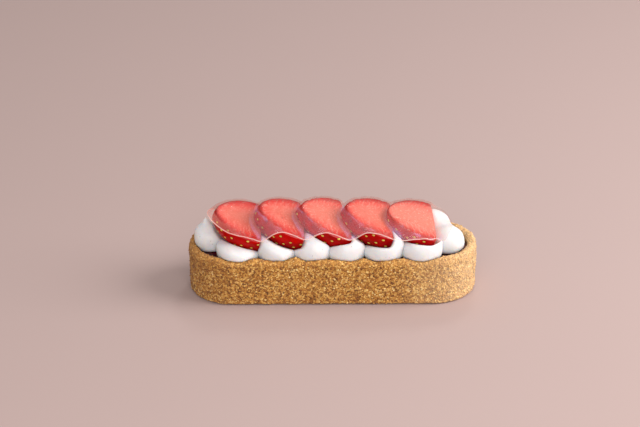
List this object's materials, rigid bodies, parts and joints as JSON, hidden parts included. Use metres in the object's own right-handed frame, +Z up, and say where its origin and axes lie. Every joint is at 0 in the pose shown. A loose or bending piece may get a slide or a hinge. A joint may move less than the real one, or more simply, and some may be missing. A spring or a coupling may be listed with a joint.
{
  "type": "fruit tart",
  "caption": "Oblong crumb-crust tart filled with jam, topped with piped cream, cut strawberries laid like shingles and a draped sheet of clear jelly.",
  "frame": {"origin": "middle of the underside", "axes": "+X along the tart, -Y the front, +Z up"},
  "size_m": [0.13, 0.04, 0.0426],
  "materials": {
    "baked_crumb": "golden-brown pressed biscuit crumb, matte and granular",
    "berry_jam": "dark red glossy jam",
    "whipped_cream": "smooth white cream, soft satin",
    "strawberry": "red wet fruit, pale pink cut face",
    "clear_jelly": "thin clear coral jelly, glossy"
  },
  "bodies": {
    "root": {"cream_back_1": "whipped_cream", "cream_back_2": "whipped_cream", "cream_back_3": "whipped_cream", "cream_back_4": "whipped_cream", "cream_back_5": "whipped_cream", "cream_back_6": "whipped_cream", "cream_front_1": "whipped_cream", "cream_front_2": "whipped_cream", "cream_front_3": "whipped_cream", "cream_front_4": "whipped_cream", "cream_front_5": "whipped_cream", "cream_front_6": "whipped_cream", "cream_left": "whipped_cream", "cream_right": "whipped_cream", "crust": "baked_crumb", "jam": "berry_jam", "jelly_veil": "clear_jelly", "strawberry_1": "strawberry", "strawberry_2": "strawberry", "strawberry_3": "strawberry", "strawberry_4": "strawberry", "strawberry_5": "strawberry"}
  },
  "joints": []
}
